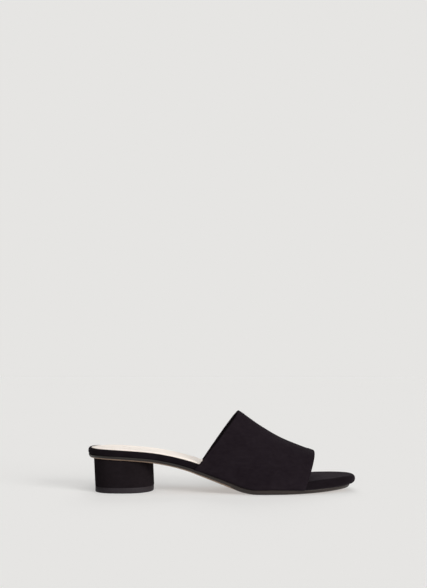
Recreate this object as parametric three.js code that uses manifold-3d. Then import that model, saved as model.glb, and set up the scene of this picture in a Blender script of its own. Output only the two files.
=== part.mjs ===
// A right-foot heeled mule, in millimetres: a low round heel and one wide strap over the instep.
// +X runs from the heel to the toe, +Y to the foot's inner (medial) side, +Z up from the floor.
// The origin is on the floor, in the middle of the shoe's footprint.
import * as THREE from "three";
import { mergeVertices } from "three/addons/utils/BufferGeometryUtils.js";
import Module from "manifold-3d";

const wasm = await Module();
wasm.setup();

// Driving sizes of the last
const length = 244; // back of the heel seat to the tip of the toe
const ballWidth = 79; // the sole's outline at the joints of the toes
const seatWidth = 58; // the sole's outline at the heel
const heelRise = 30.3; // floor to the outsole's underside at the back
const toeSpring = 4.1; // floor to the outsole's underside at the tip
const tipShift = 3; // how far the toe's tip lies towards the inner side
const instepTop = 72; // floor to the top of the strap's back edge

// Thicknesses, all measured square to the sole
const outsoleAtHeel = 3.3;
const outsoleAtBall = 4;
const footbedAtHeel = 5.1;
const footbedAtBall = 6.1;
const insoleThickness = 0.8;
const upperWall = 1.8;
const marginWall = 1.2; // the strap's lasting margin, skived thin
const gap = 0.3; // between two pieces that are glued face to face

// Edges of the sole
const outsoleInset = 1.2; // the outsole's rim lies this far inside the footbed's
const outsoleRounding = 3.4; // how far its lower rim is drawn in
const toeInset = 2.6; // the outsole stops this much shorter under the tip
const footbedRounding = 2.2;
const insoleInset = 1.5;
const insoleFrontAt = 0.6; // the insole's hidden front end, as a share of the length
const insoleRounding = 20;
const seatDish = 0.8; // how far the heel seat is cupped

// Round heel and its rubber top lift
const heelLength = 53.4;
const heelWidth = 51.5;
const heelSetBack = 5.5; // the footbed's overhang behind the heel
const heelLean = 1.3; // the heel's foot lies this much further forward than its head
const heelTaper = 0.25; // taken off all round at the foot
const liftHeight = 5;
const liftInset = 0.1;
const liftBevel = 0.7;

// The strap
const collarTopAt = 0.5635; // where the back edge crosses the instep, as a share of the length
const frontTopAt = 0.85; // where the front edge crosses the toes
// Run over rise of the two edges, seen from the side, and their run forward for each millimetre
// towards the inner side.
const collarLean = { lateral: 0.818, medial: 0.69 };
const frontLean = { lateral: 0.36, medial: 0.36 };
const collarSwing = -0.09;
const frontSwing = 0.045;
const strapProud = 0.8; // the strap stands this far outside the footbed's rim
const cornerRadius = 2.6; // where the strap turns in under the footbed
const marginWidth = 9; // the lasting margin, glued between footbed and outsole

// How finely curved forms are cut into flats
const outlineSteps = 48;
const strapSteps = 12;
const sideSteps = 11;

// The sole's underside from heel to toe: rise is a share of heelRise, spring of toeSpring.
const undersideRows = [
  { at: 0.0, rise: 1.0, spring: 0 },
  { at: 0.05, rise: 0.992, spring: 0 },
  { at: 0.1, rise: 0.975, spring: 0 },
  { at: 0.17, rise: 0.938, spring: 0 },
  { at: 0.24, rise: 0.885, spring: 0 },
  { at: 0.29, rise: 0.818, spring: 0 },
  { at: 0.335, rise: 0.735, spring: 0 },
  { at: 0.38, rise: 0.628, spring: 0 },
  { at: 0.42, rise: 0.508, spring: 0 },
  { at: 0.46, rise: 0.388, spring: 0 },
  { at: 0.5, rise: 0.27, spring: 0 },
  { at: 0.54, rise: 0.15, spring: 0 },
  { at: 0.58, rise: 0.045, spring: 0 },
  { at: 0.62, rise: 0, spring: 0 },
  { at: 0.71, rise: 0, spring: 0 },
  { at: 0.76, rise: 0, spring: 0.055 },
  { at: 0.82, rise: 0, spring: 0.21 },
  { at: 0.88, rise: 0, spring: 0.44 },
  { at: 0.94, rise: 0, spring: 0.71 },
  { at: 1.0, rise: 0, spring: 1 },
];

// The outline between the heel's round end and the toe's.
// spread runs from 0, half the seat's width, to 1, half the ball's.
const lateralRows = [
  { at: 0.125, spread: 0 },
  { at: 0.25, spread: -0.05 },
  { at: 0.35, spread: -0.06 },
  { at: 0.42, spread: 0.03 },
  { at: 0.5, spread: 0.3 },
  { at: 0.58, spread: 0.72 },
  { at: 0.66, spread: 1 },
];
const medialRows = [
  { at: 0.125, spread: 0 },
  { at: 0.25, spread: -0.12 },
  { at: 0.35, spread: -0.28 },
  { at: 0.42, spread: -0.3 },
  { at: 0.5, spread: -0.1 },
  { at: 0.58, spread: 0.32 },
  { at: 0.66, spread: 0.78 },
  { at: 0.74, spread: 1 },
];

// The strap from its back edge to its front edge. top is a share of instepTop, ridge is how far the
// highest line lies to the inner side as a share of the ball's width, and the two rounds say how
// square the sides are: 2 is an ellipse.
const strapRows = [
  { along: 0, top: 1, ridge: 0.05, lateralRound: 2.1, medialRound: 2.35 },
  { along: 0.09, top: 0.938, ridge: 0.055, lateralRound: 2.12, medialRound: 2.37 },
  { along: 0.28, top: 0.808, ridge: 0.065, lateralRound: 2.17, medialRound: 2.4 },
  { along: 0.56, top: 0.649, ridge: 0.08, lateralRound: 2.25, medialRound: 2.45 },
  { along: 0.84, top: 0.536, ridge: 0.09, lateralRound: 2.35, medialRound: 2.5 },
  { along: 1, top: 0.48, ridge: 0.09, lateralRound: 2.4, medialRound: 2.55 },
];

// Rounded edges, from the underside to the top: up is a share of the thickness, inset of the
// edge's own rounding.
const outsoleEdge = [
  { up: 0, inset: 1 },
  { up: 0.2, inset: 0.4 },
  { up: 0.5, inset: 0.1 },
  { up: 1, inset: 0 },
];
const footbedEdge = [
  { up: 0, inset: 1 },
  { up: 0.13, inset: 0.34 },
  { up: 0.34, inset: 0.05 },
  { up: 0.62, inset: 0 },
  { up: 0.86, inset: 0.2 },
  { up: 1, inset: 0.72 },
];

const black = new THREE.MeshStandardMaterial({ color: 0x1b181b, roughness: 0.95 });
const cream = new THREE.MeshStandardMaterial({ color: 0xf3e2d2, roughness: 0.55 });
const brown = new THREE.MeshStandardMaterial({ color: 0x5a4740, roughness: 0.5 });
const rubber = new THREE.MeshStandardMaterial({ color: 0x3a373a, roughness: 0.6 });

const lerp = (a, b, t) => a + (b - a) * t;
const smoothstep = (t) => {
  const c = Math.min(1, Math.max(0, t));
  return c * c * (3 - 2 * c);
};

// A smooth curve through one column of a table, without overshoot.
function curveThrough(rows, key, column, endsLevel = false) {
  const xs = rows.map((row) => row[key]);
  const ys = rows.map((row) => row[column]);
  const steps = xs.slice(1).map((x, i) => (ys[i + 1] - ys[i]) / (x - xs[i]));
  const slopes = xs.map((_, i) => {
    if (i === 0) return endsLevel ? 0 : steps[0];
    if (i === xs.length - 1) return endsLevel ? 0 : steps[i - 1];
    const before = steps[i - 1];
    const after = steps[i];
    return before * after <= 0 ? 0 : (2 * before * after) / (before + after);
  });
  return (x) => {
    const clamped = Math.min(xs[xs.length - 1], Math.max(xs[0], x));
    let i = xs.findIndex((end) => end > clamped) - 1;
    if (i < 0) i = xs.length - 2;
    const width = xs[i + 1] - xs[i];
    const t = (clamped - xs[i]) / width;
    const rise = ys[i + 1] - ys[i];
    return (
      ys[i] +
      rise * t * t * (3 - 2 * t) +
      width * (slopes[i] * t * (1 - t) ** 2 - slopes[i + 1] * t * t * (1 - t))
    );
  };
}

// A quarter of a rounded square: 1 in the middle, falling to 0 at the end.
const roundedEnd = (t, power) => (1 - Math.min(1, Math.max(0, t)) ** power) ** (1 / power);

// The plan outline
const heelEndPower = 2.2;
const toeEndPower = { lateral: 2.15, medial: 2.1 };
const toSide = { lateral: -1, medial: 1 };
const outlineRows = { lateral: lateralRows, medial: medialRows };
const spreads = {
  lateral: curveThrough(lateralRows, "at", "spread", true),
  medial: curveThrough(medialRows, "at", "spread", true),
};
const xAt = (at) => (at - 0.5) * length;
const atX = (x) => x / length + 0.5;
const centreLine = (at) => tipShift * smoothstep((at - 0.5) / 0.5);

function halfWidth(side, at) {
  const rows = outlineRows[side];
  const heelEnd = rows[0].at;
  const toeStart = rows[rows.length - 1].at;
  const middle = lerp(seatWidth / 2, ballWidth / 2, spreads[side](at));
  if (at < heelEnd) return middle * roundedEnd((heelEnd - at) / heelEnd, heelEndPower);
  if (at > toeStart) {
    return middle * roundedEnd((at - toeStart) / (1 - toeStart), toeEndPower[side]);
  }
  return middle;
}

// Heights over the floor
const riseCurve = curveThrough(undersideRows, "at", "rise");
const springCurve = curveThrough(undersideRows, "at", "spring");
const underside = (x) => heelRise * riseCurve(atX(x)) + toeSpring * springCurve(atX(x));

// The height of a surface that lies a thickness above the sole's underside, square to it.
function above(x, thickness) {
  const step = 1;
  const slope = (underside(x + step) - underside(x - step)) / (2 * step);
  return underside(x) + thickness * Math.hypot(1, slope);
}

// Both layers grow thicker through the waist, from the heel to the ball.
const throughWaist = (x) => smoothstep((atX(x) - 0.33) / 0.22);
const outsoleThickness = (x) => lerp(outsoleAtHeel, outsoleAtBall, throughWaist(x));
const footbedThickness = (x) => lerp(footbedAtHeel, footbedAtBall, throughWaist(x));
const footbedBase = (x) => outsoleThickness(x) + gap;

// Points of a ring go from the back end along the lateral side to the front end and return along
// the medial side. Shares of the length are closer together towards the round ends.
const endShares = Array.from(
  { length: outlineSteps + 1 },
  (_, i) => (1 - Math.cos((Math.PI * i) / outlineSteps)) / 2,
);

function ringOf(pointOn) {
  const last = endShares.length - 1;
  const lateral = endShares.map((share) => pointOn("lateral", share));
  const medial = endShares.map((share) => pointOn("medial", share));
  return [...lateral, ...medial.slice(1, last).reverse()];
}

const soleOutline = ringOf((side, share) => ({
  x: xAt(share),
  y: centreLine(share) + toSide[side] * halfWidth(side, share),
}));

// Moves each point of a ring inwards, square to the ring, by a distance that may depend on x.
function insetRing(ring, distance) {
  return ring.map((p, i) => {
    const before = ring[(i + ring.length - 1) % ring.length];
    const after = ring[(i + 1) % ring.length];
    const dx = after.x - before.x;
    const dy = after.y - before.y;
    const size = Math.hypot(dx, dy);
    const d = distance(p.x);
    return { x: p.x - (d * dy) / size, y: p.y + (d * dx) / size };
  });
}

const raised = (ring, height) => ring.map((p) => ({ ...p, z: height(p) }));

function geometryOf(points, faces) {
  const geometry = new THREE.BufferGeometry();
  const flat = points.flatMap((p) => [p.x, p.y, p.z]);
  geometry.setAttribute("position", new THREE.Float32BufferAttribute(flat, 3));
  geometry.setIndex(faces.flat());
  return geometry;
}

// Joins rings from the lowest to the highest, and closes both ends with strips that run across
// from the lateral to the medial side. The two height functions shape the strips.
const acrossSteps = 6;

function loftRings(rings, lowerHeight, upperHeight) {
  const count = rings[0].length;
  const points = rings.flat();
  const faces = [];
  for (let r = 0; r + 1 < rings.length; r += 1) {
    for (let i = 0; i < count; i += 1) {
      const next = (i + 1) % count;
      const a = r * count + i;
      const b = r * count + next;
      faces.push([a, b, b + count], [a, b + count, a + count]);
    }
  }
  const closeEnd = (start, height, isTop) => {
    const turned = (a, b, c) => faces.push(isTop ? [a, b, c] : [a, c, b]);
    const stripBetween = (near, far) => {
      const strip = [near];
      for (let k = 1; k < acrossSteps; k += 1) {
        const t = k / acrossSteps;
        const x = lerp(points[near].x, points[far].x, t);
        const y = lerp(points[near].y, points[far].y, t);
        strip.push(points.push({ x, y, z: height({ x, y }) }) - 1);
      }
      return [...strip, far];
    };
    let strip = [start];
    for (let i = 1; i <= count / 2; i += 1) {
      const isLast = i === count / 2;
      const next = isLast ? [start + i] : stripBetween(start + i, start + count - i);
      for (let k = 0; k < acrossSteps; k += 1) {
        if (strip.length === 1) turned(strip[0], next[k], next[k + 1]);
        else if (isLast) turned(strip[k], next[0], strip[k + 1]);
        else {
          turned(strip[k], next[k], next[k + 1]);
          turned(strip[k], next[k + 1], strip[k + 1]);
        }
      }
      strip = next;
    }
  };
  closeEnd(0, lowerHeight, false);
  closeEnd((rings.length - 1) * count, upperHeight, true);
  return geometryOf(points, faces);
}

const overSole = (share) => (p) => above(p.x, share * outsoleThickness(p.x));

function makeOutsole() {
  const inset = (x) => outsoleInset + toeInset * smoothstep((atX(x) - 0.88) / 0.12);
  const rim = insetRing(soleOutline, inset);
  const rings = outsoleEdge.map(({ up, inset: drawnIn }) =>
    raised(
      insetRing(rim, () => drawnIn * outsoleRounding),
      overSole(up),
    ),
  );
  return loftRings(rings, overSole(0), overSole(1));
}

// The seat is cupped like a shallow bowl, deepest below the heel.
function cup({ x, y }) {
  const centre = 0.13;
  const reach = atX(x) < centre ? centre : 0.4;
  const along = (atX(x) - centre) / reach;
  const across = y / (seatWidth / 2);
  return seatDish * Math.max(0, 1 - along ** 2) * Math.max(0, 1 - across ** 2);
}

const overSeat = (thickness) => (p) =>
  above(p.x, footbedBase(p.x) + footbedThickness(p.x) + thickness) - cup(p);

function makeFootbed() {
  const within = (up) => (p) => above(p.x, footbedBase(p.x) + up * footbedThickness(p.x));
  const rings = footbedEdge.map(({ up, inset }) =>
    raised(
      insetRing(soleOutline, () => inset * footbedRounding),
      up === 1 ? overSeat(0) : within(up),
    ),
  );
  return cutForStrap(loftRings(rings, within(0), overSeat(0)));
}

// The cream insole covers the seat and the waist and stops, with a rounded end, below the strap.
function makeInsole() {
  const back = xAt(0) + insoleInset;
  const front = xAt(insoleFrontAt);
  const heelEnd = lateralRows[0].at;
  const ring = ringOf((side, share) => {
    const x = lerp(back, front, share);
    const at = atX(x);
    const backEnd = roundedEnd((xAt(heelEnd) - x) / (xAt(heelEnd) - back), heelEndPower);
    const frontEnd = roundedEnd((x - front) / insoleRounding + 1, 2.6);
    const half = halfWidth(side, Math.max(at, heelEnd)) - insoleInset;
    return { x, y: centreLine(at) + toSide[side] * half * backEnd * frontEnd };
  });
  const rolled = insoleThickness * 0.45;
  const under = overSeat(gap);
  const over = overSeat(gap + insoleThickness);
  const rings = [
    raised(ring, under),
    raised(ring, overSeat(gap + insoleThickness - rolled)),
    raised(insetRing(ring, () => rolled), over),
  ];
  return cutForStrap(loftRings(rings, under, over));
}

// The heel is a round column. Its head follows the outsole, and its foot is flat.
const heelBackPower = 2.7;
const heelFrontPower = 2.2;

function heelRing(towardsFoot, inset) {
  const half = heelLength / 2 - inset;
  const centre = xAt(0) + heelSetBack + heelLength / 2 + heelLean * towardsFoot;
  const halfAcross = heelWidth / 2 - inset;
  return ringOf((side, share) => {
    const along = 2 * share - 1;
    const power = along < 0 ? heelBackPower : heelFrontPower;
    return {
      x: centre + along * half,
      y: toSide[side] * halfAcross * roundedEnd(Math.abs(along), power),
    };
  });
}

function makeHeel() {
  const foot = () => liftHeight + gap;
  const head = (p) => underside(p.x) - gap;
  const rings = [
    raised(heelRing(1, heelTaper), foot),
    raised(heelRing(0.5, heelTaper / 2), (p) => lerp(foot(), head(p), 0.5)),
    raised(heelRing(0, 0), head),
  ];
  return loftRings(rings, foot, head);
}

function makeLift() {
  const inset = heelTaper + liftInset;
  const floor = () => 0;
  const top = () => liftHeight;
  const rings = [
    raised(heelRing(1, inset + liftBevel), floor),
    raised(heelRing(1, inset), () => liftBevel),
    raised(heelRing(1, inset), top),
  ];
  return loftRings(rings, floor, top);
}

// The strap is lofted through leaning sections. A section's plane leans as the edges do, so that
// it is square to the strap's ridge, and meets the sole behind its own top.
const strapTop = curveThrough(strapRows, "along", "top");
const strapRidge = curveThrough(strapRows, "along", "ridge");
const strapRounds = {
  lateral: curveThrough(strapRows, "along", "lateralRound"),
  medial: curveThrough(strapRows, "along", "medialRound"),
};

function strapPlane(side, along) {
  return {
    topX: xAt(lerp(collarTopAt, frontTopAt, along)),
    topZ: instepTop * strapTop(along),
    lean: lerp(collarLean[side], frontLean[side], along),
    swing: lerp(collarSwing, frontSwing, along),
    ridgeY: strapRidge(along) * ballWidth,
  };
}

const onPlane = ({ topX, topZ, lean, swing, ridgeY }, y, z) =>
  topX + lean * (z - topZ) + swing * (y - ridgeY);

// Where a section meets the outsole's top, a distance inside the strap's rim, found by closing in.
function footOfSection(side, plane, inside) {
  let foot = { x: plane.topX, y: 0, z: 0 };
  for (let i = 0; i < 60; i += 1) {
    const at = atX(foot.x);
    const y = centreLine(at) + toSide[side] * (halfWidth(side, at) + strapProud - inside);
    const z = above(foot.x, footbedBase(foot.x));
    foot = { x: lerp(foot.x, onPlane(plane, y, z), 0.5), y, z };
  }
  return foot;
}

// Half of a section's outer line, from the lasting margin's inner edge up to the ridge.
function halfSection(side, along, beyond) {
  const sign = toSide[side];
  const plane = strapPlane(side, along);
  const foot = footOfSection(side, plane, 0);
  const inner = footOfSection(side, plane, marginWidth + beyond);
  const springZ = foot.z + cornerRadius;
  const line = [{ y: inner.y, z: inner.z, wall: marginWall, plane }];
  const cornerSteps = 3;
  for (let i = 0; i < cornerSteps; i += 1) {
    const turn = (Math.PI / 2) * (i / cornerSteps);
    line.push({
      y: foot.y - sign * cornerRadius * (1 - Math.sin(turn)),
      z: springZ - cornerRadius * Math.cos(turn),
      wall: lerp(marginWall, upperWall, i / cornerSteps),
      plane,
    });
  }
  const power = 2 / strapRounds[side](along);
  for (let i = 0; i <= sideSteps; i += 1) {
    const turn = (Math.PI / 2) * (i / sideSteps);
    line.push({
      y: lerp(plane.ridgeY, foot.y, Math.cos(turn) ** power),
      z: lerp(springZ, plane.topZ, Math.sin(turn) ** power),
      wall: upperWall,
      plane,
    });
  }
  return line;
}

// Outer and inner line of a section. outward and inward grow the wall on either side, and beyond
// grows it at its ends.
function strapSection(along, { outward, inward, beyond }, shift) {
  const lateral = halfSection("lateral", along, beyond);
  const medial = halfSection("medial", along, beyond);
  const line = [...lateral, ...medial.slice(0, -1).reverse()];
  const moved = (distance) =>
    line.map((p, i) => {
      const before = line[Math.max(0, i - 1)];
      const after = line[Math.min(line.length - 1, i + 1)];
      const dy = after.y - before.y;
      const dz = after.z - before.z;
      const size = Math.hypot(dy, dz);
      const d = distance(p);
      const y = p.y + (d * dz) / size;
      const z = p.z - (d * dy) / size;
      return { x: onPlane(p.plane, y, z) + shift, y, z };
    });
  return [...moved(() => -outward), ...moved((p) => p.wall + inward).reverse()];
}

// The cut takes away all that lies outside the strap's inner side, a gap included.
const strapItself = { outward: 0, inward: 0, beyond: 0 };
const strapCut = { outward: 3 * upperWall, inward: gap, beyond: 1.5 * gap };

function makeStrap(growth) {
  const sections = [];
  for (let i = 0; i <= strapSteps; i += 1) {
    const shift = i === 0 ? -growth.beyond : i === strapSteps ? growth.beyond : 0;
    sections.push(strapSection(i / strapSteps, growth, shift));
  }
  const count = sections[0].length;
  const faces = [];
  for (let s = 0; s < strapSteps; s += 1) {
    for (let i = 0; i < count; i += 1) {
      const next = (i + 1) % count;
      const a = s * count + i;
      const b = s * count + next;
      const c = b + count;
      const d = a + count;
      faces.push([a, c, b], [a, d, c]);
    }
  }
  const half = count / 2;
  const lastStart = strapSteps * count;
  for (let i = 0; i + 1 < half; i += 1) {
    const inner = count - 1 - i;
    faces.push([i, i + 1, inner - 1], [i, inner - 1, inner]);
    const [a, b, c, d] = [i, i + 1, inner - 1, inner].map((k) => k + lastStart);
    faces.push([a, c, b], [a, d, c]);
  }
  return geometryOf(sections.flat(), faces);
}

function solidFrom(geometry) {
  const merged = mergeVertices(geometry, 1e-4);
  return new wasm.Manifold(
    new wasm.Mesh({
      numProp: 3,
      vertProperties: new Float32Array(merged.getAttribute("position").array),
      triVerts: new Uint32Array(merged.index.array),
    }),
  );
}

function geometryFrom(solid) {
  const mesh = solid.getMesh();
  const geometry = new THREE.BufferGeometry();
  geometry.setAttribute("position", new THREE.BufferAttribute(mesh.vertProperties, 3));
  geometry.setIndex(new THREE.BufferAttribute(mesh.triVerts, 1));
  return geometry;
}

// Footbed and insole give way to the strap, with a gap all round it.
const cutForStrap = (geometry) =>
  geometryFrom(solidFrom(geometry).subtract(solidFrom(makeStrap(strapCut))));

// Assembly
const mule = new THREE.Group();
function add(name, geometry, material) {
  const mesh = new THREE.Mesh(geometry, material);
  mesh.name = name;
  mule.add(mesh);
}
add("upper", makeStrap(strapItself), black);
add("footbed", makeFootbed(), black);
add("insole", makeInsole(), cream);
add("outsole", makeOutsole(), brown);
add("heel", makeHeel(), black);
add("top_lift", makeLift(), rubber);

// The widest points of the two sides lie equally far from the middle.
const ys = soleOutline.map((p) => p.y);
mule.position.y = -(Math.max(...ys) + Math.min(...ys)) / 2;

export default mule;
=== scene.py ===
# %% [markdown]
# # A heeled mule in black suede
# This lesson dresses one right-foot mule: a wide suede strap, a wrapped footbed with a cream sock,
# a thin brown sole and a low round heel on a rubber lift. The construction model gives every
# piece its place and size. Here each piece is drawn again with a fine surface and its own finish.
# +X runs from the heel to the toe, +Y to the foot's inner side and +Z up from the floor.

# %% Load the construction model
import math
from functools import lru_cache

import bmesh
import bpy
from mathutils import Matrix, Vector


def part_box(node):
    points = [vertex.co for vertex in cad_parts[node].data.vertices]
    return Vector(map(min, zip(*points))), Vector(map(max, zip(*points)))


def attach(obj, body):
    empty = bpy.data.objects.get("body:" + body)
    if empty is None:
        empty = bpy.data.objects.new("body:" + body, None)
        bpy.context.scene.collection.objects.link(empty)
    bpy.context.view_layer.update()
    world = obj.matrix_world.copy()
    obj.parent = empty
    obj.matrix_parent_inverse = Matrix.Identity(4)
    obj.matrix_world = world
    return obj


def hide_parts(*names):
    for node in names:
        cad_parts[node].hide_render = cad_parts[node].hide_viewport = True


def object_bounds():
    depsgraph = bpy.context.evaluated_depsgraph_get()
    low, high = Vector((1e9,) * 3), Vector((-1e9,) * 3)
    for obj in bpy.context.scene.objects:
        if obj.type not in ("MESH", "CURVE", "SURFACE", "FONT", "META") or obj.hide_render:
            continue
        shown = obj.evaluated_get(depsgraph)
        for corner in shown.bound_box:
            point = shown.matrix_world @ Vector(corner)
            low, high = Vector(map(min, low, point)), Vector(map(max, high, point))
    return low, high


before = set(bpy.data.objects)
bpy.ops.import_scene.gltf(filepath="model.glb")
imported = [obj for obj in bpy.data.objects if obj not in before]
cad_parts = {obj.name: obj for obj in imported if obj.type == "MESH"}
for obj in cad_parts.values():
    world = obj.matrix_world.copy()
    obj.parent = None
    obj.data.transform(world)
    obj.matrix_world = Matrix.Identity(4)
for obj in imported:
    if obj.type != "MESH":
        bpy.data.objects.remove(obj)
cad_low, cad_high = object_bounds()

print("nodes:", sorted(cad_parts))

# %% [markdown]
# A shoemaker thinks in millimetres and Blender in metres, so every size below is in millimetres
# and is turned into metres where a point is placed. The overall sizes are read from the
# construction model, and the others are the last's own.

# %% Sizes of the shoe
MM = 0.001
length = (cad_high.x - cad_low.x) / MM
instep_top = cad_high.z / MM
heel_low, heel_high = (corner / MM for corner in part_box("heel"))
lift_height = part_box("top_lift")[1].z / MM
side_shift = (heel_low.y + heel_high.y) / 2
ball_width = 79
seat_width = 58
heel_rise = 30.1  # floor to the outsole's underside at the back
toe_spring = 3.4  # floor to the outsole's underside at the tip
tip_shift = 3  # how far the toe's tip lies towards the inner side
print(f"length {length:.1f}, instep {instep_top:.1f}, lift {lift_height:.1f} mm")

# %% Thicknesses and clearances
sock_thickness = 0.8
strap_wall = 1.8
margin_wall = 1.2  # the strap where it is glued under the footbed, pared thin
glue_line = 0.3
hairline = 0.03
print(f"strap {strap_wall} mm, sock {sock_thickness} mm, glue {glue_line} mm")

# %% [markdown]
# A last has no flat or straight lines, but it can be told in a few rows. Each row gives a place
# along the shoe, as a share of its length, and a value there. A smooth curve joins the rows. The
# curve's slope at a row is a mean of its neighbours' slopes that never overshoots, so the sole
# doesn't ripple between two rows.


# %% A smooth curve through a few rows
def mix(a, b, share):
    return a + (b - a) * share


def ease(share):
    share = min(1.0, max(0.0, share))
    return share * share * (3 - 2 * share)


def smooth_curve(rows, level_ends=False):
    places = [row[0] for row in rows]
    values = [row[1] for row in rows]
    steps = [(values[i + 1] - values[i]) / (places[i + 1] - places[i]) for i in range(len(rows) - 1)]
    slopes = [0.0 if level_ends else steps[0]]
    for before, after in zip(steps, steps[1:]):
        slopes.append(2 * before * after / (before + after) if before * after > 0 else 0.0)
    slopes.append(0.0 if level_ends else steps[-1])

    def value(place):
        place = min(places[-1], max(places[0], place))
        i = max(k for k in range(len(steps)) if places[k] <= place)
        width = places[i + 1] - places[i]
        t = (place - places[i]) / width
        lean = slopes[i] * t * (1 - t) ** 2 - slopes[i + 1] * t * t * (1 - t)
        return mix(values[i], values[i + 1], ease(t)) + width * lean

    return value


# %% [markdown]
# The sole seen from above is wide at the ball, narrow at the waist and round at both ends. The
# rows say how far each side spreads from half the seat's width, 0, to half the ball's width, 1.
# The waist is narrower than the seat, so it is below 0. The ends are rounded squares, which look
# fuller than an ellipse.

# %% The outline of the sole
outline_rows = {
    "lateral": [
        (0.125, 0), (0.25, -0.1), (0.35, -0.17), (0.42, -0.05),
        (0.5, 0.27), (0.58, 0.72), (0.66, 1),
    ],
    "medial": [
        (0.125, 0), (0.25, -0.22), (0.35, -0.46), (0.42, -0.5),
        (0.5, -0.22), (0.58, 0.28), (0.66, 0.78), (0.74, 1),
    ],
}
spreads = {side: smooth_curve(rows, level_ends=True) for side, rows in outline_rows.items()}
to_side = {"lateral": -1, "medial": 1}
heel_end_power = 2.2
toe_end_power = {"lateral": 2.15, "medial": 2.1}


# %% Places along the sole, and its half widths there
def round_end(share, power):
    return (1 - min(1.0, max(0.0, share)) ** power) ** (1 / power)


def at_x(x):
    return x / length + 0.5


def x_at(at):
    return (at - 0.5) * length


def centre_line(at):
    return side_shift + tip_shift * ease((at - 0.5) / 0.5)


def half_width(side, at):
    heel_end, toe_start = outline_rows[side][0][0], outline_rows[side][-1][0]
    middle = mix(seat_width, ball_width, spreads[side](at)) / 2
    if at < heel_end:
        return middle * round_end((heel_end - at) / heel_end, heel_end_power)
    if at > toe_start:
        return middle * round_end((at - toe_start) / (1 - toe_start), toe_end_power[side])
    return middle


for part, at in (("seat", 0.12), ("waist", 0.4), ("ball", 0.7)):
    print(f"{part}: {half_width('lateral', at) + half_width('medial', at):.1f} mm wide")

# %% [markdown]
# Seen from the side the sole is level at the heel, falls through the arch, touches the floor
# under the ball and springs up a little at the toe. A layer's thickness is measured square to
# the slope, as a sheet of leather keeps its thickness when it is bent.

# %% The side view of the sole
rise_rows = [
    (0, 1), (0.05, 0.992), (0.1, 0.975), (0.17, 0.938), (0.24, 0.885), (0.29, 0.818),
    (0.335, 0.735), (0.38, 0.628), (0.42, 0.508), (0.46, 0.388), (0.5, 0.27), (0.54, 0.15),
    (0.58, 0.045), (0.62, 0), (1, 0),
]
spring_rows = [(0, 0), (0.71, 0), (0.76, 0.055), (0.82, 0.2), (0.88, 0.42), (0.94, 0.7), (1, 1)]
rise_curve = smooth_curve(rise_rows)
spring_curve = smooth_curve(spring_rows)


def underside(x):
    return heel_rise * rise_curve(at_x(x)) + toe_spring * spring_curve(at_x(x))


def above(x, thickness):
    slope = (underside(x + 1) - underside(x - 1)) / 2
    return underside(x) + thickness * math.hypot(1, slope)


print(f"the arch stands {underside(x_at(0.4)):.1f} mm off the floor in its middle")

# %% How thick the sole's two layers are
layer_rows = [
    # along, outsole, footbed
    (0, 3, 5.7),
    (0.33, 3, 5.85),
    (0.55, 3.9, 6.2),
    (0.7, 4.2, 6.2),
    (0.8, 3.2, 7.2),
    (0.87, 3, 8.2),
    (1, 3, 8.2),
]
outsole_thickness = smooth_curve([(row[0], row[1]) for row in layer_rows])
footbed_thickness = smooth_curve([(row[0], row[2]) for row in layer_rows])


def bed_base(x):
    return outsole_thickness(at_x(x)) + glue_line


def bed_thickness(x):
    return footbed_thickness(at_x(x))


for part, x in (("heel", x_at(0)), ("tip", x_at(1))):
    print(f"{part}: {bed_base(x) + bed_thickness(x):.1f} mm of sole and footbed")

# %% The cupped heel seat
seat_dish = 0.8
cup_centre = 0.13
cup_reach = 0.4


def cup(x, y):
    reach = cup_centre if at_x(x) < cup_centre else cup_reach
    along = (at_x(x) - cup_centre) / reach
    across = (y - side_shift) / (seat_width / 2)
    return seat_dish * max(0.0, 1 - along**2) * max(0.0, 1 - across**2)


def over_seat(thickness):
    return lambda x, y: above(x, bed_base(x) + bed_thickness(x) + thickness) - cup(x, y)


print("seat stands at", round(over_seat(0)(x_at(cup_centre), side_shift), 1), "mm")

# %% [markdown]
# Five of the six pieces are closed plates or blocks: outsole, footbed, sock, heel and lift. All of
# them can be made the same way. A circle is laid on the piece's underside, pulled out to its rim,
# drawn up its edge ring by ring, and drawn in again over its top until both sides meet in the
# middle. Each point keeps its number round the ring in a layer, which an extrusion copies, so
# that the next ring knows where to go. This gives even strips that follow the rim, which a
# filled outline wouldn't. A second layer counts the rings, so that a finish can start at one.

# %% Drawing a solid ring by ring
ring_points = 320
weld_distance = 0.004
sliver = 0.002


def draw_solid(stations):
    bm = bmesh.new()
    number = bm.verts.layers.int.new("number")
    level = bm.verts.layers.int.new("level")
    points = bmesh.ops.create_circle(bm, segments=ring_points, radius=1)["verts"]
    for i, vert in enumerate(points):
        vert[number] = i
        vert.co = stations[0](i / ring_points) * MM
    edges = bm.edges[:]
    for step, station in enumerate(stations[1:], 1):
        drawn = bmesh.ops.extrude_edge_only(bm, edges=edges)["geom"]
        points = {part for part in drawn if isinstance(part, bmesh.types.BMVert)}
        edges = [part for part in drawn if isinstance(part, bmesh.types.BMEdge)]
        edges = [edge for edge in edges if points.issuperset(edge.verts)]
        for vert in points:
            vert[level] = step
            vert.co = station(vert[number] / ring_points) * MM
    bmesh.ops.remove_doubles(bm, verts=bm.verts[:], dist=weld_distance * MM)
    bmesh.ops.dissolve_degenerate(bm, edges=bm.edges[:], dist=sliver * MM)
    bmesh.ops.recalc_face_normals(bm, faces=bm.faces[:])
    return bm


# %% Rims, and rings inside them
def side_of(turn):
    return "lateral" if turn < 0.5 else "medial"


def share_of(turn):
    return (1 - math.cos(2 * math.pi * turn)) / 2


def sole_rim(turn):
    at, side = share_of(turn), side_of(turn)
    return Vector((x_at(at), centre_line(at) + to_side[side] * half_width(side, at)))


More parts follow.
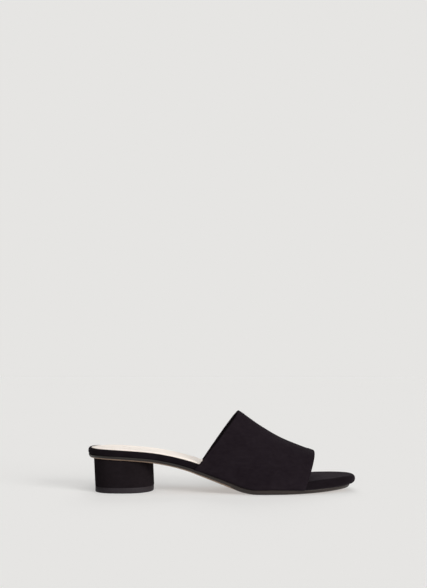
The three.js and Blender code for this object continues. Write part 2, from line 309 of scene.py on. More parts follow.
def inside(rim, turn, inset):
    step = 0.4 / ring_points
    run = rim((turn + step) % 1) - rim((turn - step) % 1)
    run.normalize()
    distance = inset(rim(turn).x) if callable(inset) else inset
    return rim(turn) + Vector((-run.y, run.x)) * distance


def ring(rim, inset, height):
    def place(turn):
        x, y = inside(rim, turn, inset)
        return Vector((x, y, height(x, y)))

    return place


# %% Stations over a face, from its rim to a line down its middle
def over_face(rim, inset, middle, height, steps):
    def station(share):
        def place(turn):
            x, y = inside(rim, turn, inset)
            middle_x = min(middle[1], max(middle[0], mix(rim(0).x, rim(0.5).x, share_of(turn))))
            x, y = mix(x, middle_x, share), mix(y, centre_line(at_x(middle_x)), share)
            return Vector((x, y, height(x, y)))

        return place

    return [station(step / steps) for step in range(steps + 1)]


# %% From a drawn mesh to a finished piece
def make_piece(name, bm, node):
    for face in bm.faces:
        face.smooth = True
    mesh = bpy.data.meshes.new(name)
    bm.to_mesh(mesh)
    bm.free()
    piece = bpy.data.objects.new(name, mesh)
    bpy.context.scene.collection.objects.link(piece)
    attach(piece, "root")
    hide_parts(node)
    return piece


def report_on(piece):
    bm = bmesh.new()
    bm.from_mesh(piece.data)
    volume = bm.calc_volume(signed=True) / MM**3 / 1000
    loose = sum(not edge.is_manifold for edge in bm.edges)
    triangles = sum(len(face.verts) - 2 for face in bm.faces)
    bm.free()
    print(f"{piece.name}: {triangles} triangles, {volume:.1f} cm3, {loose} open edges")


# %% [markdown]
# The outsole is a thin sheet, cut a little smaller than the footbed and shorter still under the
# tip. Its lower rim is sanded round and painted brown. On the real shoe a pebbled field on the
# underside grips the floor inside a smooth border, with a shallow line between the two. The
# line is a real groove here, because it follows the rim and the ring stations do too.

# %% The outsole
inset_rows = [(0, 0.5), (0.5, 0.7), (0.62, 2.2), (0.84, 2.6), (0.92, 3.7), (1, 5)]
outsole_inset = smooth_curve(inset_rows)
outsole_rounding = 3
border_width = 6
border_groove = 0.25
field_edge = 0.8
field_depth = 0.1
field_steps = 8
groove_rows = [
    # inside the border, share of the groove's depth
    (0.4, 1),
    (0.1, 1),
    (-0.3, 0),
    (-border_width / 2, 0),
]


def outsole_rim(turn):
    return inside(sole_rim, turn, outsole_inset(at_x(sole_rim(turn).x)))


# %% Drawing the outsole
def draw_outsole():
    def sunk(depth):
        return lambda x, y: above(x, depth)

    def part_way(up):
        return lambda x, y: above(x, up * (bed_base(x) - hairline))

    def edge(degrees):
        angle = math.radians(degrees)
        drawn_in = outsole_rounding * (1 - math.sin(angle))
        return ring(outsole_rim, drawn_in, part_way(1 - math.cos(angle)))

    middle = (x_at(cup_centre), x_at(0.8))
    border = outsole_rounding + border_width
    field = over_face(outsole_rim, border + field_edge, middle, sunk(field_depth), field_steps)
    groove = [
        ring(outsole_rim, border + inwards, sunk(border_groove * share))
        for inwards, share in groove_rows
    ]
    sides = [edge(degrees) for degrees in (0, 12, 24, 36, 48, 60, 72, 82, 90)]
    top = over_face(outsole_rim, 0, middle, part_way(1), 6)
    return draw_solid(field[::-1] + groove + sides + top[1:])


outsole = make_piece("outsole_sheet", draw_outsole(), "outsole")
report_on(outsole)

# %% [markdown]
# The footbed is a board with thin padding, wrapped in the strap's suede. The wrap makes a full
# round edge, which is drawn as a bullnose: a half round, a little squarer than a circle, and
# deeper round the toe. Behind the heel the wrap stands up as a low lip that keeps the sock's
# end in its place.

# %% The wrapped footbed
rounding_rows = [(0, 2.2), (0.8, 2.2), (0.87, 3.8), (1, 4.6)]
bed_rounding = smooth_curve(rounding_rows)
bed_edge_power = 2.2
heel_lip = 0.6
heel_lip_end = 0.07


# %% Drawing the footbed
def draw_footbed():
    def over_bed(up):
        return lambda x, y: above(x, bed_base(x) + up * bed_thickness(x)) - up * cup(x, y)

    def rounded(x):
        return bed_rounding(at_x(x))

    def edge(degrees):
        angle = math.radians(degrees)
        rise = abs(math.sin(angle)) ** (2 / bed_edge_power)
        up = 0.5 + 0.5 * math.copysign(rise, angle)
        drawn_in = 1 - math.cos(angle) ** (2 / bed_edge_power)
        level = over_bed(up)

        def lipped(x, y):
            lip = heel_lip * (1 - ease(at_x(x) / heel_lip_end))
            return level(x, y) + lip * max(0, 2 * up - 1)

        return ring(sole_rim, lambda x: rounded(x) * drawn_in, lipped)

    middle = (x_at(cup_centre), x_at(0.84))
    under = over_face(sole_rim, rounded, middle, over_bed(0), 5)
    sides = [edge(degrees) for degrees in range(-80, 81, 8)]
    top = over_face(sole_rim, rounded, middle, over_bed(1), 18)
    return draw_solid(under[::-1] + sides + top)


footbed = make_piece("wrapped_footbed", draw_footbed(), "footbed")
report_on(footbed)

# %% [markdown]
# The sock is the pale leather that the heel rests on. It is glued over the seat and the waist, a
# little inside the wrap's edge, and its hidden end lies under the strap. Its edge is skived, which
# means pared thin from below, so it lies almost flush with the wrap.

# %% The cream sock
sock_inset = 2
sock_end_inset = 2.8
sock_front = x_at(0.6)
sock_back = x_at(0) + sock_end_inset
sock_front_round = 20
sock_front_power = 2.6
skived_edge = 0.3
skived_width = 6


def sock_rim(turn):
    side = side_of(turn)
    x = mix(sock_back, sock_front, share_of(turn))
    heel_end = outline_rows["lateral"][0][0]
    back = round_end((x_at(heel_end) - x) / (x_at(heel_end) - sock_back), heel_end_power)
    front = round_end((x - sock_front) / sock_front_round + 1, sock_front_power)
    half = (half_width(side, max(at_x(x), heel_end)) - sock_inset) * back * front
    return Vector((x, centre_line(at_x(x)) + to_side[side] * half))


# %% Drawing the sock
def draw_sock():
    sock_top = glue_line + sock_thickness

    def edge(degrees):
        angle = math.radians(degrees)
        lift = mix(hairline, skived_edge, math.sin(angle))
        return ring(sock_rim, skived_edge * (1 - math.cos(angle)), over_seat(lift))

    def skived(distance):
        share = ease((distance - skived_edge) / (skived_width - skived_edge))
        return ring(sock_rim, distance, over_seat(mix(skived_edge, sock_top, share)))

    middle = (x_at(cup_centre), x_at(0.5))
    under = over_face(sock_rim, 0, middle, over_seat(hairline), 18)
    sides = [edge(degrees) for degrees in (30, 60)]
    slope = [skived(distance) for distance in (skived_edge, 1, 1.8, 2.6, 3.4, 4.2, 5.1)]
    top = over_face(sock_rim, skived_width, middle, over_seat(sock_top), 16)
    return draw_solid(under[::-1] + sides + slope + top)


sock = make_piece("cream_sock", draw_sock(), "insole")
report_on(sock)

# %% [markdown]
# The heel is a round block under the seat, covered with suede before it is nailed on. The cover
# is one strip, and its two ends meet at the breast, the side that faces the toe. There the later
# end overlaps the earlier one, which shows as a small step down the heel. The block's foot lies a
# little over a millimetre in front of its head and is a quarter of one smaller all round, which
# keeps it from looking like a stamped can.

# %% The outline of the heel
heel_lean = 1.3
heel_taper = 0.25
heel_back_power = 2.7
heel_front_power = 2.2
heel_length = heel_high.x - heel_low.x - heel_lean + heel_taper
heel_width = heel_high.y - heel_low.y
heel_middle = heel_low.x + heel_length / 2
print(f"heel {heel_length:.1f} mm long at its head, {heel_width:.1f} mm wide")


def heel_rim(towards_foot, inset):
    def rim(turn):
        along = 2 * share_of(turn) - 1
        power = heel_back_power if along < 0 else heel_front_power
        x = heel_middle + heel_lean * towards_foot + along * (heel_length / 2 - inset)
        half = (heel_width / 2 - inset) * round_end(abs(along), power)
        return Vector((x, side_shift + to_side[side_of(turn)] * half))

    return rim


# %% Stations over a round face, from its rim to its centre
def to_centre(rim, height, steps):
    centre = (rim(0) + rim(0.5)) / 2

    def station(share):
        def place(turn):
            x, y = rim(turn).lerp(centre, share)
            return Vector((x, y, height(x, y)))

        return place

    return [station(step / steps) for step in range(steps + 1)]


# %% An edge rounded to a quarter circle, from below
def quarter_round(radius, *angles):
    for angle in angles:
        sine, cosine = math.sin(math.radians(angle)), math.cos(math.radians(angle))
        yield radius * (1 - sine), radius * (1 - cosine)


# %% The covered heel
cover_overlap = 0.35
seam_at = 0.494  # the turn at which the later end stops: the breast's middle is at 0.5
seam_width = 0.006
seam_fade = 0.09
seam_sink = 0.3  # shares of the overlap: how deep the covered end lies
seam_stand = 0.9  # and how far the later end stands out from there
cover_round = 0.5
heel_rows = 18


# %% Drawing the heel
def draw_heel():
    foot = lift_height + hairline

    def head(x, y):
        return underside(x) - hairline

    def overlapped(towards_foot, inset):
        rim = heel_rim(towards_foot, inset)

        def covered(turn):
            past = turn - seam_at
            step = cover_overlap * (ease(past / seam_width) - ease(past / seam_fade))
            sunk = cover_overlap * seam_sink - step * seam_stand
            return inside(rim, turn, sunk) if step else rim(turn)

        return covered

    def side(up, inset):
        rim = overlapped(1 - up, inset + heel_taper * (1 - up))
        return ring(rim, 0, lambda x, y: mix(foot, head(x, y), up))

    height = heel_rise - foot
    rounding = quarter_round(cover_round, 18, 36, 54, 72)
    turned_in = [side(up / height, drawn_in) for drawn_in, up in rounding]
    first = cover_round / height
    column = [side(mix(first, 1, row / heel_rows), 0) for row in range(heel_rows + 1)]
    bottom = to_centre(heel_rim(1, heel_taper + cover_round), lambda x, y: foot, 5)
    top = to_centre(heel_rim(0, 0), head, 8)
    return draw_solid(bottom[::-1] + turned_in + column + top[1:])


heel = make_piece("covered_heel", draw_heel(), "heel")
report_on(heel)

# %% [markdown]
# The top lift is the rubber slab that meets the floor. It is nailed under the heel and sanded
# round with it, so it follows the heel's outline. A shallow groove runs round its tread.

# %% The rubber lift
lift_inset = 0.1
lift_bevel = 0.7
lift_edge = 0.25
tread_border = 4
tread_groove = 0.35
groove_slope = 0.3
groove_width = 0.7


# %% Drawing the lift
def draw_lift():
    def inner_rim(distance):
        return heel_rim(1, heel_taper + lift_inset + distance)

    rim = inner_rim(0)

    def level(z):
        return lambda x, y: z

    bevel = [ring(rim, drawn_in, level(up)) for drawn_in, up in quarter_round(lift_bevel, 0, 30, 60, 90)]
    tread = to_centre(inner_rim(tread_border + groove_slope + groove_width), level(0), 6)
    groove = [
        ring(rim, tread_border + groove_width, level(tread_groove)),
        ring(rim, tread_border + groove_slope, level(tread_groove)),
        ring(rim, tread_border, level(0)),
    ]
    sides = [ring(rim, 0, level(z)) for z in (1.6, 2.8, lift_height - lift_edge)]
    shoulder = ring(rim, lift_edge * 0.4, level(lift_height - lift_edge / 5))
    top_edge = [shoulder, ring(rim, lift_edge, level(lift_height))]
    top = to_centre(inner_rim(lift_edge), level(lift_height), 6)
    return draw_solid(tread[::-1] + groove + bevel + sides + top_edge + top[1:])


lift = make_piece("rubber_lift", draw_lift(), "top_lift")
report_on(lift)

# %% [markdown]
# The strap is the whole upper: one piece of suede on a lining, pulled over the last and glued
# under the footbed. It is drawn as a flat sheet first. Then each point of the sheet is carried to
# its place on the last, by how far it lies along the strap and how far round it. Seen from the
# front, a section is a rounded arch whose sides turn in under the footbed. The sections lean,
# because the strap's two edges do.

# %% How the strap lies on the last
collar_at = 0.5627
front_at = 0.85
collar_lean = {"lateral": 0.835, "medial": 0.68}
front_lean = {"lateral": 0.36, "medial": 0.36}
collar_swing = -0.09
front_swing = 0.045
collar_flare = 0.7
flare_height = 7
strap_proud = 0.8
corner_radius = 2.6
margin_width = 9
strap_rows = [
    # along, top, ridge, lateral round, medial round
    (0, 1, 0.05, 2.1, 2.35),
    (0.09, 0.943, 0.055, 2.12, 2.37),
    (0.28, 0.814, 0.065, 2.17, 2.4),
    (0.56, 0.655, 0.08, 2.25, 2.45),
    (0.84, 0.541, 0.09, 2.35, 2.5),
    (1, 0.484, 0.09, 2.4, 2.55),
]
strap_top, strap_ridge, lateral_round, medial_round = (
    smooth_curve([(row[0], row[column]) for row in strap_rows]) for column in (1, 2, 3, 4)
)
side_round = {"lateral": lateral_round, "medial": medial_round}
strap_run = (front_at - collar_at) * length
print(f"the strap runs {strap_run:.1f} mm along the instep")


# %% A leaning section of the strap
def lean_forward(side, along, y, z):
    top_x = x_at(mix(collar_at, front_at, along))
    top_z = instep_top * strap_top(along)
    lean = mix(collar_lean[side], front_lean[side], along)
    swing = mix(collar_swing, front_swing, along)
    ridge_y = side_shift + strap_ridge(along) * ball_width
    return top_x + lean * (z - top_z) + swing * (y - ridge_y)


# %% Where a section meets the outsole's top, found by closing in on it
@lru_cache(maxsize=None)
def section_foot(side, along, inwards):
    x = x_at(mix(collar_at, front_at, along))
    for _ in range(60):
        at = at_x(x)
        y = centre_line(at) + to_side[side] * (half_width(side, at) + strap_proud - inwards)
        z = above(x, bed_base(x))
        x = mix(x, lean_forward(side, along, y, z), 0.5)
    return Vector((y, z))


# %% A point of the strap's skin
# Of the way from the ridge to the margin's end, this much is side, and this much corner.
side_share = 0.8
corner_share = 0.12
margin_share = 1 - side_share - corner_share
flare_fade = 12


def skin(along, across, beyond=0.0):
    side = "medial" if across > 0 else "lateral"
    foot = section_foot(side, along, 0.0)
    way = abs(across)
    if way <= side_share:
        angle = math.pi / 2 * (1 - way / side_share)
        power = 2 / side_round[side](along)
        ridge_y = side_shift + strap_ridge(along) * ball_width
        y = mix(ridge_y, foot.x, max(0.0, math.cos(angle)) ** power)
        z = mix(foot.y + corner_radius, instep_top * strap_top(along), math.sin(angle) ** power)
    elif way <= side_share + corner_share:
        angle = math.pi / 2 * (way - side_share) / corner_share
        y = foot.x - to_side[side] * corner_radius * (1 - math.cos(angle))
        z = foot.y + corner_radius * (1 - math.sin(angle))
    else:
        corner_end = Vector((foot.x - to_side[side] * corner_radius, foot.y))
        margin_end = section_foot(side, along, margin_width + beyond)
        y, z = corner_end.lerp(margin_end, (way - side_share - corner_share) / margin_share)
    flare = collar_flare * (1 - along) ** flare_fade * ease(1 - (z - foot.y) / flare_height)
    return Vector((lean_forward(side, along, y, z) - flare, y, z))


def skin_normal(along, across):
    step = 0.004
    a0, a1 = max(0.0, along - step), min(1.0, along + step)
    c0, c1 = max(-1.0, across - step), min(1.0, across + step)
    forwards = skin(a1, across) - skin(a0, across)
    sideways = skin(along, c1) - skin(along, c0)
    return forwards.cross(sideways).normalized()


# %% [markdown]
# New suede over a last is almost smooth, but not quite. Both free edges are turned under, and the
# doubled leather stands a little proud for some six millimetres. Where the strap is pulled down to
# the sole, soft troughs run up from the margin. They are listed one row each.

# %% The strap's relief
turned_width = 6.5
turned_slope = 1.6
turned_height = 0.28
trough_fade = 1.5
margin_fade = 0.1
pull_rows = [
    # side, along, height up the side, half width along, depth in mm
    ("lateral", 0.07, 0.42, 0.035, 0.32),
    ("lateral", 0.19, 0.30, 0.045, 0.2),
    ("lateral", 0.42, 0.20, 0.06, 0.14),
    ("lateral", 0.71, 0.24, 0.05, 0.18),
    ("lateral", 0.92, 0.34, 0.035, 0.26),
    ("medial", 0.08, 0.38, 0.04, 0.3),
    ("medial", 0.33, 0.22, 0.05, 0.16),
    ("medial", 0.64, 0.26, 0.055, 0.18),
    ("medial", 0.9, 0.36, 0.035, 0.26),
]


def relief(along, across):
    side = "medial" if across > 0 else "lateral"
    up = max(0.0, 1 - abs(across) / side_share)
    from_edge = min(along, 1 - along) * strap_run
    height = turned_height * ease((turned_width - from_edge) / turned_slope)
    for pull_side, place, reach, half_spread, depth in pull_rows:
        if pull_side == side and up < reach:
            trough = math.exp(-(((along - place) / half_spread) ** 2))
            height -= depth * trough * (1 - up / reach) ** trough_fade
    return height * ease((1 - abs(across)) / margin_fade)


print(len(pull_rows), "troughs, the deepest", max(row[-1] for row in pull_rows), "mm")


# %% [markdown]
# The sheet is extruded inwards once, with the original kept, which gives the lining side and the
# rim in one step. The rim's edges are then bevelled round, as a turned edge is. The same function
# makes a fatter copy of the strap, which cuts its bed into footbed and sock, as a maker lets a
# strap into the wrap so that nothing pinches. The copy also reaches a little past both edges.

# %% Drawing the strap
along_steps = 72
across_steps = 184


def draw_strap(outward=0.0, inward=0.0, beyond=0.0, detail=1.0):
    bm = bmesh.new()
    along_of = bm.verts.layers.float.new("along")
    across_of = bm.verts.layers.float.new("across")
    columns, rows = int(along_steps * detail), int(across_steps * detail)
    sheet = bmesh.ops.create_grid(bm, x_segments=columns, y_segments=rows, size=1)["verts"]
    for vert in sheet:
        vert[along_of] = (vert.co.x + 1) / 2
        vert[across_of] = vert.co.y
    drawn = bmesh.ops.extrude_face_region(bm, geom=bm.faces[:], use_keep_orig=True)["geom"]
    lining = {part for part in drawn if isinstance(part, bmesh.types.BMVert)}
    for vert in bm.verts:
        along, across = round(vert[along_of], 6), round(vert[across_of], 6)
        place, normal = skin(along, across, beyond), skin_normal(along, across)
        place.x += beyond * ((along == 1) - (along == 0))
        if vert in lining:
            skived = ease((abs(across) - side_share) / corner_share)
            place -= normal * (mix(strap_wall, margin_wall, skived) + inward)
        else:
            place += normal * (relief(along, across) + outward)
        vert.co = place * MM
    bmesh.ops.recalc_face_normals(bm, faces=bm.faces[:])
    return bm


# %% The strap with its turned edges
edge_round = 0.6
rim_angle = 50
lining_start = 2.2
foot_middle = Vector((0, side_shift, 20))


def finish_strap():
    bm = draw_strap()
    along_of = bm.verts.layers.float["along"]
    rim_edges = [edge for edge in bm.edges if edge.calc_face_angle(0) > math.radians(rim_angle)]
    bmesh.ops.bevel(
        bm, geom=rim_edges, offset=edge_round * MM, offset_type="OFFSET", segments=4,
        profile=0.5, affect="EDGES", material=-1, clamp_overlap=True,
    )
    bm.normal_update()
    for face in bm.faces:
        centre = face.calc_center_median() / MM
        along = sum(vert[along_of] for vert in face.verts) / len(face.verts)
        from_edge = min(along, 1 - along) * strap_run
        inwards = foot_middle - Vector((0, centre.y, centre.z))
        if from_edge > lining_start and face.normal.dot(inwards) > 0:
            face.material_index = 1
    return bm


strap = make_piece("suede_strap", finish_strap(), "upper")
report_on(strap)


# %% Letting the strap into the footbed and the sock
bed_gap = 0.12
bed_reach = 5
sharp_edge = 40


def cut_bed(piece):
    cutter_mesh = bpy.data.meshes.new("strap_bed")
    bm = draw_strap(outward=bed_reach, inward=bed_gap, beyond=bed_gap, detail=0.5)
    bm.to_mesh(cutter_mesh)
    bm.free()
    cutter = bpy.data.objects.new("strap_bed", cutter_mesh)
    bpy.context.scene.collection.objects.link(cutter)
    cut = piece.modifiers.new("strap bed", "BOOLEAN")
    cut.operation, cut.solver, cut.object = "DIFFERENCE", "EXACT", cutter
    cut_piece = piece.evaluated_get(bpy.context.evaluated_depsgraph_get())
    piece.data = bpy.data.meshes.new_from_object(cut_piece)
    piece.modifiers.clear()
    bpy.data.objects.remove(cutter)
    piece.data.set_sharp_from_angle(angle=math.radians(sharp_edge))
    report_on(piece)


cut_bed(footbed)
cut_bed(sock)

# %% [markdown]
# # Finishes
# Every finish is one shader with noise behind its colour, its roughness and its bumps. All of
# them read Object coordinates, in metres, so a scale of 1000 means features of a millimetre.


# %% Starting a finish, and putting it on a piece
def start_finish(name):
    material = bpy.data.materials.new(name)
    material.use_nodes = True
    tree = material.node_tree
    shader = tree.nodes["Principled BSDF"]
    place = tree.nodes.new("ShaderNodeTexCoord").outputs["Object"]
    return material, tree, shader, place


def dress(piece, *finishes):
    for finish in finishes:
        piece.data.materials.append(finish)
    print(piece.name, "wears", ", ".join(finish.name for finish in finishes))


def set_sockets(node, **values):
    for name, value in values.items():
        node.inputs[name.replace("_", " ")].default_value = value
    return node


# %% Patterns: soft noise, and a net of cells
def noise(tree, place, scale, detail=3.0, roughness=0.5, stretch=(1, 1, 1), distortion=0.0):
    mapping = tree.nodes.new("ShaderNodeMapping")
    mapping.inputs["Scale"].default_value = stretch
    texture = tree.nodes.new("ShaderNodeTexNoise")
    set_sockets(texture, Scale=scale, Detail=detail, Roughness=roughness, Distortion=distortion)
    tree.links.new(place, mapping.inputs["Vector"])
    tree.links.new(mapping.outputs["Vector"], texture.inputs["Vector"])
    return texture.outputs["Fac"]


def cells(tree, place, scale, feature="DISTANCE_TO_EDGE"):
    texture = tree.nodes.new("ShaderNodeTexVoronoi")
    texture.feature = feature
    texture.inputs["Scale"].default_value = scale
    tree.links.new(place, texture.inputs["Vector"])
    return texture.outputs["Distance"]


# %% Colours, from the shade that is written to the ramp that a pattern drives
def shade(red, green, blue):
    def linear(value):
        value = value / 255
        return value / 12.92 if value <= 0.04045 else ((value + 0.055) / 1.055) ** 2.4

    return linear(red), linear(green), linear(blue)


def ramp(tree, value, stops):
    node = tree.nodes.new("ShaderNodeValToRGB")
    while len(node.color_ramp.elements) < len(stops):
        node.color_ramp.elements.new(0.5)
    for element, (position, colour) in zip(node.color_ramp.elements, stops):
        element.position = position
        element.color = (*colour, 1)
    tree.links.new(value, node.inputs["Fac"])
    return node.outputs["Color"]


# %% Blending, spreading and embossing a pattern
def blend_values(tree, first, second, share):
    node = tree.nodes.new("ShaderNodeMix")
    node.data_type = "FLOAT"
    node.inputs["Factor"].default_value = share
    tree.links.new(first, node.inputs["A"])
    tree.links.new(second, node.inputs["B"])
    return node.outputs["Result"]


def spread(tree, value, low, high):
    node = tree.nodes.new("ShaderNodeMapRange")
    node.inputs["From Min"].default_value = 0.3
    node.inputs["From Max"].default_value = 0.7
    node.inputs["To Min"].default_value = low
    node.inputs["To Max"].default_value = high
    tree.links.new(value, node.inputs["Value"])
    return node.outputs["Result"]


def bump(tree, height, strength, depth, under=None):
    node = tree.nodes.new("ShaderNodeBump")
    set_sockets(node, Strength=strength, Distance=depth * MM)
    tree.links.new(height, node.inputs["Height"])
    if under:
        tree.links.new(under, node.inputs["Normal"])
    return node.outputs["Normal"]


# %% [markdown]
# Suede is leather with its fibres raised. It has hardly any gloss, but its fibres catch light at a
# grazing angle, which is what the sheen is for. A hand that strokes it lays the nap in patches,
# a little lighter or darker, some 10 to 20 mm across. The fibres themselves are a tenth of a
# millimetre wide and show as a fine grain.


# %% Black suede
def suede(name, dark, light, sheen):
    material, tree, shader, place = start_finish(name)
    patches = noise(tree, place, 70, detail=5, roughness=0.6, distortion=0.6)
    strokes = noise(tree, place, 420, detail=3, stretch=(0.45, 1, 1))
    fibres = noise(tree, place, 3200, detail=2, roughness=0.7)
    tone = blend_values(tree, blend_values(tree, patches, strokes, 0.4), fibres, 0.3)
    colour = ramp(tree, tone, [(0.36, shade(*dark)), (0.64, shade(*light))])
    tree.links.new(colour, shader.inputs["Base Color"])
    tree.links.new(spread(tree, patches, 0.98, 0.86), shader.inputs["Roughness"])
    soft = bump(tree, strokes, 0.25, 0.25)
    tree.links.new(bump(tree, fibres, 0.55, 0.14, soft), shader.inputs["Normal"])
    shader.inputs["Specular IOR Level"].default_value = 0.02
    shader.inputs["Sheen Weight"].default_value = sheen
    shader.inputs["Sheen Roughness"].default_value = 0.45
    shader.inputs["Sheen Tint"].default_value = (*shade(150, 140, 150), 1)
    return material


# The strap, the footbed's wrap and the heel's cover are one black suede. Their three shades are painted
# light and shade, each set to how light falls on its part.
strap_suede = suede("strap_suede", (28, 22, 27), (38, 32, 37), 0.03)
bed_suede = suede("footbed_suede", (20, 16, 19), (29, 24, 28), 0.14)
heel_suede = suede("heel_suede", (24, 20, 22), (33, 28, 31), 0.02)
dress(footbed, bed_suede)
dress(heel, heel_suede)

# %% [markdown]
# The lining is smooth black leather. Its grain is a net of fine creases round small cells.


# %% Lining leather
def lining_leather():
    material, tree, shader, place = start_finish("lining_leather")
    grain = cells(tree, place, 1100)
    pores = noise(tree, place, 2600, detail=2)
    tone = noise(tree, place, 60, detail=4)
    colour = ramp(tree, tone, [(0.35, shade(22, 19, 21)), (0.65, shade(33, 29, 31))])
    tree.links.new(colour, shader.inputs["Base Color"])
    tree.links.new(spread(tree, tone, 0.48, 0.62), shader.inputs["Roughness"])
    creased = bump(tree, grain, 0.35, 0.2)
    tree.links.new(bump(tree, pores, 0.15, 0.05, creased), shader.inputs["Normal"])
    shader.inputs["Specular IOR Level"].default_value = 0.35
    return material


dress(strap, strap_suede, lining_leather())

# %% [markdown]
# The sock is pale, finished leather: smooth and slightly glossy, with pores that only show close
# up and a faint warmth where the dye went on thicker.


# %% Cream sock leather
def sock_leather():
    material, tree, shader, place = start_finish("sock_leather")
    clouds = noise(tree, place, 45, detail=4)
    grain = cells(tree, place, 1500)
    pores = noise(tree, place, 3000, detail=2)
    tone = blend_values(tree, clouds, pores, 0.25)
    colour = ramp(tree, tone, [(0.35, shade(246, 232, 219)), (0.65, shade(250, 240, 231))])
    tree.links.new(colour, shader.inputs["Base Color"])
    tree.links.new(spread(tree, clouds, 0.42, 0.55), shader.inputs["Roughness"])
    creased = bump(tree, grain, 0.2, 0.12)
    tree.links.new(bump(tree, pores, 0.12, 0.04, creased), shader.inputs["Normal"])
    shader.inputs["Specular IOR Level"].default_value = 0.4
    shader.inputs["Coat Weight"].default_value = 0.08
    shader.inputs["Coat Roughness"].default_value = 0.35
    return material


dress(sock, sock_leather())

# %% [markdown]
# The outsole has three finishes. Brown edge paint is rolled on by hand, so it is slightly glossy
# and never quite even. Its colour is darkened towards the seat, as painted shade under the footbed's
# overhang, and where it meets the floor, as painted contact shade. The underside is tan: smooth on
# its border, which shows as a thin line under the seat and the waist, and pebbled on its field. Each
# face takes its finish by the ring it belongs to. Near the floor the dark paint runs further under,
# almost to the flat of the border, as painted contact shade where the sole almost meets the floor.


# %% A share that grows along an axis, and the product of two shares
def share_along(tree, place, axis, low, high, least):
    apart = tree.nodes.new("ShaderNodeSeparateXYZ")
    node = tree.nodes.new("ShaderNodeMapRange")
    set_sockets(node, From_Min=low * MM, From_Max=high * MM, To_Min=least)
    tree.links.new(place, apart.inputs["Vector"])
    tree.links.new(apart.outputs[axis], node.inputs["Value"])
    return node.outputs["Result"]


def times(tree, first, second):
    node = tree.nodes.new("ShaderNodeMath")
    node.operation = "MULTIPLY"
    tree.links.new(first, node.inputs[0])
    tree.links.new(second, node.inputs[1])
    return node.outputs["Value"]


# %% Edge paint, with painted shade
def edge_paint_and_shade():
    material, tree, shader, place = start_finish("edge_paint_and_shade")
    coat = noise(tree, place, 160, detail=4, stretch=(0.3, 0.3, 3))
    grit = noise(tree, place, 1800, detail=2)
    # Painted contact shade: the paint's colour darkens in the lowest two millimetres, next to the floor.
    past_contact_shade = share_along(tree, place, "Z", 0.5, 1.8, 0)
    # Painted shade: the paint's colour is darker towards the seat, under the footbed's overhang.
    seat_shade_factor = share_along(tree, place, "X", -40, 10, 0.5)
    tone = times(tree, coat, times(tree, past_contact_shade, seat_shade_factor))
    # The darkest stop is reached mostly where the painted shade pulls the tone down.
    stops = [(0, shade(16, 12, 10)), (0.35, shade(34, 26, 22)), (0.65, shade(48, 38, 32))]
    colour = ramp(tree, tone, stops)
    tree.links.new(colour, shader.inputs["Base Color"])
    tree.links.new(spread(tree, grit, 0.38, 0.6), shader.inputs["Roughness"])
    tree.links.new(bump(tree, blend_values(tree, coat, grit, 0.5), 0.25, 0.15), shader.inputs["Normal"])
    return material


# %% Tan underside
def tan_underside(name, grain, depth):
    material, tree, shader, place = start_finish(name)
    clouds = noise(tree, place, 50, detail=5)
    scuffs = noise(tree, place, 260, detail=4, stretch=(0.25, 1, 1))
    tone = blend_values(tree, clouds, scuffs, 0.35)
    colour = ramp(tree, tone, [(0.35, shade(136, 113, 96)), (0.65, shade(158, 134, 115))])
    tree.links.new(colour, shader.inputs["Base Color"])
    tree.links.new(spread(tree, tone, 0.48, 0.7), shader.inputs["Roughness"])
    tree.links.new(bump(tree, cells(tree, place, grain, "F1"), 0.5, depth), shader.inputs["Normal"])
    return material


tan_border = tan_underside("tan_border", 1600, 0.1)
tan_field = tan_underside("tan_field", 620, 0.4)
dress(outsole, edge_paint_and_shade(), tan_border, tan_field)

# %% Which ring of the outsole takes which finish
# Painted contact shade: near the floor the dark edge paint takes rings that would be tan border, where
# the sole almost meets the floor.
contact_shade_height = 2  # up to this height, in mm, the paint runs furthest under
contact_shade_fade = 6  # and this much higher it runs least
paint_rings = (1, 4)
border_start = field_steps + 1
edge_start = border_start + len(groove_rows)
levels = outsole.data.attributes["level"].data
for face in outsole.data.polygons:
    level = min(levels[vert].value for vert in face.vertices)
    past_contact_shade = ease((face.center.z / MM - contact_shade_height) / contact_shade_fade)
    paint_start = edge_start + round(mix(*paint_rings, past_contact_shade))
    face.material_index = 2 if level < border_start else 1 if level < paint_start else 0
painted = sum(face.area for face in outsole.data.polygons if face.material_index == 0)
print(f"{painted / MM**2 / 100:.0f} cm2 of the outsole are painted, its top included")

# %% [markdown]
# The lift is moulded rubber: dark grey, matt on its sanded side, with a fine even texture.


# %% Lift rubber
def lift_rubber():
    material, tree, shader, place = start_finish("lift_rubber")
    sanding = noise(tree, place, 900, detail=3, stretch=(1, 1, 0.2))
    speckle = noise(tree, place, 2400, detail=2)
    tone = blend_values(tree, sanding, speckle, 0.5)
    colour = ramp(tree, tone, [(0.35, shade(40, 36, 39)), (0.65, shade(51, 46, 50))])
    tree.links.new(colour, shader.inputs["Base Color"])
    tree.links.new(spread(tree, sanding, 0.55, 0.75), shader.inputs["Roughness"])
    tree.links.new(bump(tree, tone, 0.3, 0.12), shader.inputs["Normal"])
    shader.inputs["Specular IOR Level"].default_value = 0.15
    return material


dress(lift, lift_rubber())

# %% [markdown]
# # The studio
# The photograph has a pale floor that runs into a pale background without a line. The shadow is
# dark only where the sole almost meets the floor, and faint under the arch and round the heel, so
# most of the light comes in low, from softboxes round the shoe. Each row below is one of them: a
# sun as wide as a softbox looks from the shoe. The floor is a white light table. Its own faint
# glow makes up what the lights leave to the background's shade, so that the two meet unseen.

# %% Light
background = shade(230, 229, 227)
light_tint = [channel / background[0] for channel in background]
lights = [
    # name, degrees to the right of the camera, degrees up, degrees wide, strength
    ("low_key", 47, 17, 28, 2.05),
    ("front", 18, 45, 40, 0.76),
    ("overhead", 0, 90, 60, 0.68),
    ("back", 180, 30, 34, 0.8),
]
room_light = 0.03


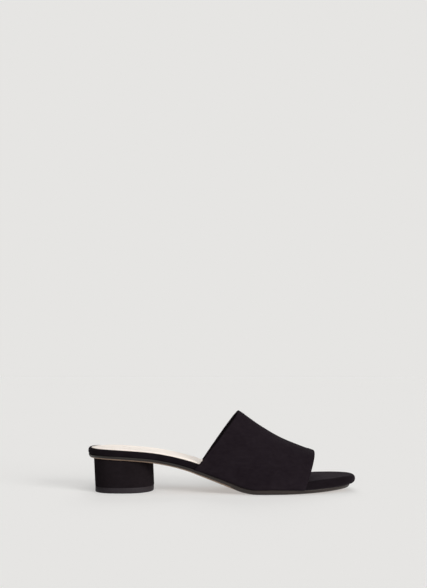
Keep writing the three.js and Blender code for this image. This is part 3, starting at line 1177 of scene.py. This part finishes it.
def add_light(name, turn, up, width, strength):
    light = bpy.data.lights.new(name, "SUN")
    light.energy = strength
    light.angle = math.radians(width)
    light.color = light_tint
    holder = bpy.data.objects.new(name, light)
    holder.rotation_euler = (math.radians(90 - up), 0, math.radians(turn))
    bpy.context.scene.collection.objects.link(holder)
    print(f"{name}: {turn} degrees round, {up} up, {width} wide")


for row in lights:
    add_light(*row)

# %% Floor
floor_size = 60
floor_shade = 0.57
floor_clouds = 0.005
from_above = sum(strength * math.sin(math.radians(up)) for _, _, up, _, strength in lights)
lit = floor_shade * (from_above / math.pi / background[0] + room_light)
table_glow = 1 - lit
print(f"the lights give the floor {lit:.2f} of the background's shade, its glow {table_glow:.2f}")


def floor_finish():
    material, tree, shader, place = start_finish("studio_floor")
    clouds = noise(tree, place, 3, detail=2)
    darker, lighter = floor_shade * (1 - floor_clouds), floor_shade * (1 + floor_clouds)
    colour = ramp(tree, clouds, [(0, [darker] * 3), (1, [lighter] * 3)])
    tree.links.new(colour, shader.inputs["Base Color"])
    shader.inputs["Roughness"].default_value = 0.9
    shader.inputs["Specular IOR Level"].default_value = 0
    shader.inputs["Emission Color"].default_value = (*background, 1)
    shader.inputs["Emission Strength"].default_value = table_glow
    return material


bm = bmesh.new()
bmesh.ops.create_grid(bm, x_segments=1, y_segments=1, size=floor_size / 2)
floor_mesh = bpy.data.meshes.new("studio_floor")
bm.to_mesh(floor_mesh)
bm.free()
floor = bpy.data.objects.new("studio_floor", floor_mesh)
floor.data.materials.append(floor_finish())
bpy.context.scene.collection.objects.link(floor)

# %% Room
scene = bpy.context.scene
scene.world = bpy.data.worlds.new("studio")
scene.world.use_nodes = True
tree = scene.world.node_tree
room = tree.nodes["Background"]
set_sockets(room, Color=(*background, 1), Strength=room_light)
backdrop = set_sockets(tree.nodes.new("ShaderNodeBackground"), Color=(*background, 1))
rays = tree.nodes.new("ShaderNodeLightPath")
either = tree.nodes.new("ShaderNodeMixShader")
tree.links.new(rays.outputs["Is Camera Ray"], either.inputs["Fac"])
tree.links.new(room.outputs["Background"], either.inputs[1])
tree.links.new(backdrop.outputs["Background"], either.inputs[2])
tree.links.new(either.outputs["Shader"], tree.nodes["World Output"].inputs["Surface"])
scene.view_settings.view_transform = "Standard"
print(f"the room adds {room_light} of the background's shade from all round")

# %% [markdown]
# The camera stands where the photograph was taken from: 80 cm from the shoe's long axis, about
# 10 cm above the floor, and tipped up a little, which puts the shoe low in a tall frame.

# %% Camera
camera_distance = 800
camera_height = 105.465
camera_shift = -7.6
camera_tilt = 5.31
camera_data = bpy.data.cameras.new("camera")
camera_data.lens = 52.665
camera_data.sensor_width = 36
camera = bpy.data.objects.new("camera", camera_data)
camera.location = Vector((camera_shift, -camera_distance, camera_height)) * MM
camera.rotation_euler = (math.radians(90 + camera_tilt), 0, 0)
scene.collection.objects.link(camera)
scene.camera = camera
print(f"camera {camera_height:.0f} mm up, tipped {camera_tilt} degrees, lens {camera_data.lens:.1f} mm")
